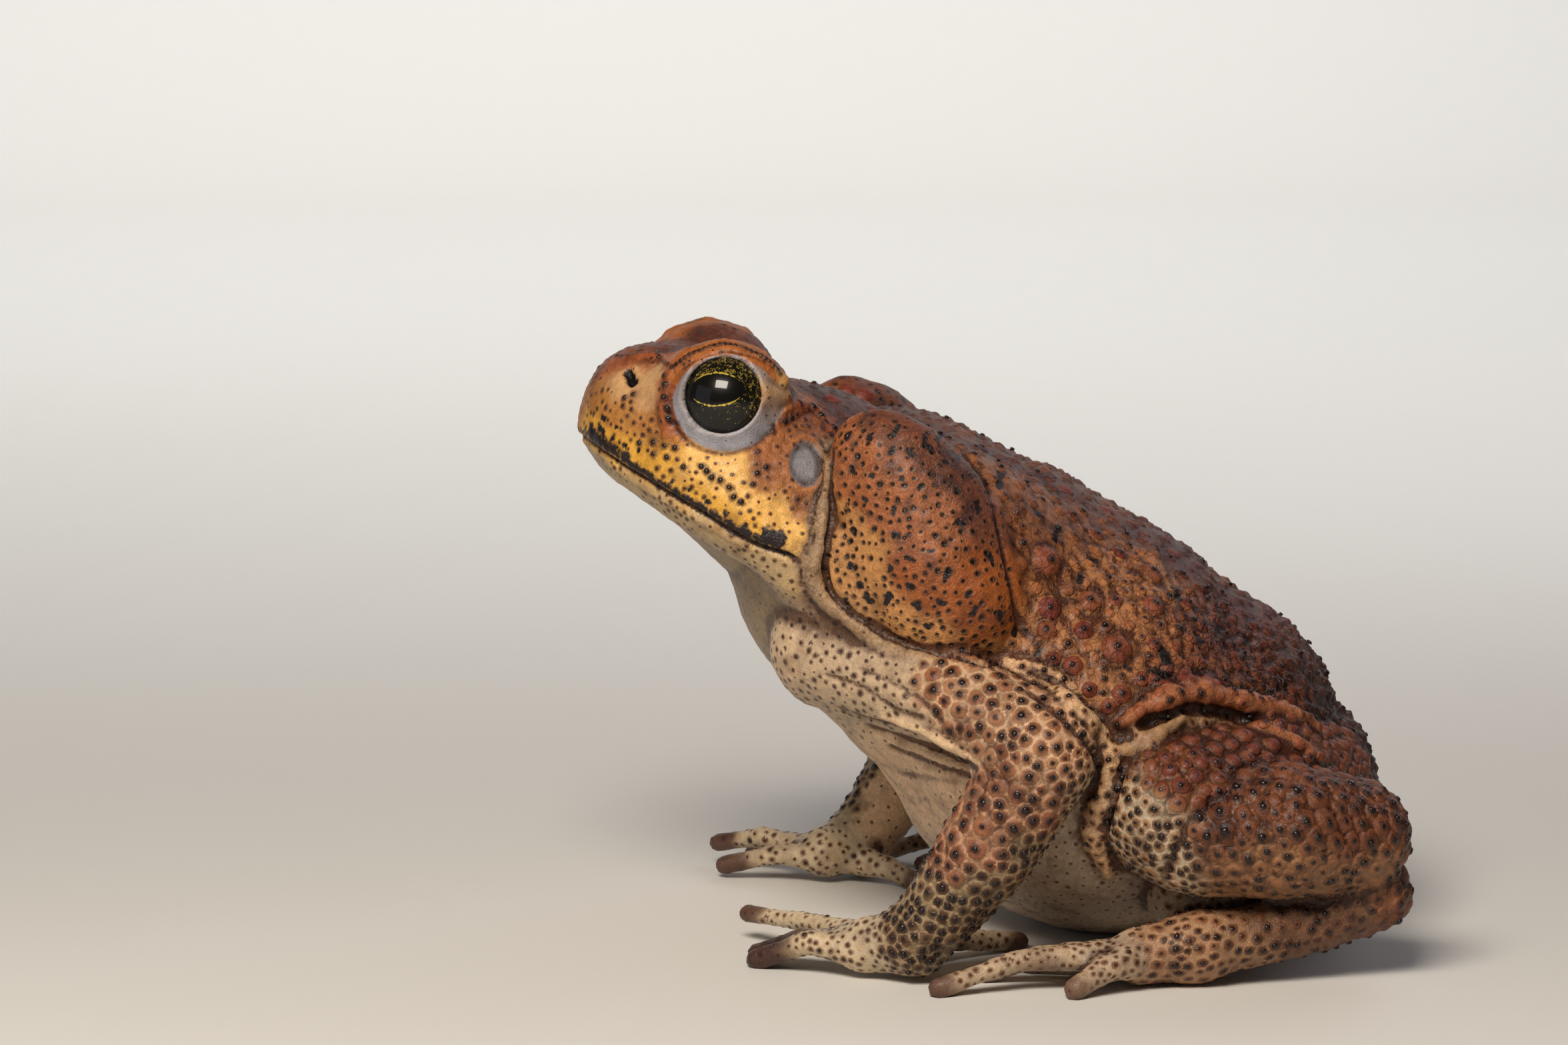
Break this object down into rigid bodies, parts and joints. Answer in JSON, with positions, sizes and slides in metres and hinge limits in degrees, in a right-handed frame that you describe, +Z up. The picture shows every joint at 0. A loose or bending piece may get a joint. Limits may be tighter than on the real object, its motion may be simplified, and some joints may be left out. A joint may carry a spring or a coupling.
{
  "type": "cane toad",
  "caption": "Cane toad sitting up on its hands with its hind legs folded, head raised, mouth shut, large glands behind the eyes and a warty back.",
  "frame": {"origin": "centre of the bounding box in plan, on the floor under the toad", "axes": "-X the way the toad faces, -Y its left side, +Z up"},
  "size_m": [0.1292, 0.113, 0.0976],
  "materials": {
    "skin_head": "moist satin, warty",
    "skin_pale": "satin, finely granular",
    "skin_back": "moist satin, warty",
    "skin_gland": "moist satin, pitted with pores",
    "skin_limb": "satin, covered in small warts",
    "skin_digits": "satin",
    "eye": "wet gloss",
    "lid_brown": "satin",
    "lid_pale": "moist satin",
    "eardrum": "smooth satin"
  },
  "bodies": {
    "root": {"head": "skin_head", "lower_jaw": "skin_pale", "torso": "skin_back", "eye_left": "eye", "eyelid_upper_left": "lid_brown", "eyelid_lower_left": "lid_pale", "tympanum_left": "eardrum", "parotoid_left": "skin_gland", "upper_arm_left": "skin_limb", "forearm_left": "skin_limb", "hand_left": "skin_digits", "thigh_left": "skin_limb", "shank_left": "skin_limb", "tarsus_left": "skin_limb", "foot_left": "skin_digits", "eye_right": "eye", "eyelid_upper_right": "lid_brown", "eyelid_lower_right": "lid_pale", "tympanum_right": "eardrum", "parotoid_right": "skin_gland", "upper_arm_right": "skin_limb", "forearm_right": "skin_limb", "hand_right": "skin_digits", "thigh_right": "skin_limb", "shank_right": "skin_limb", "tarsus_right": "skin_limb", "foot_right": "skin_digits"}
  },
  "joints": []
}
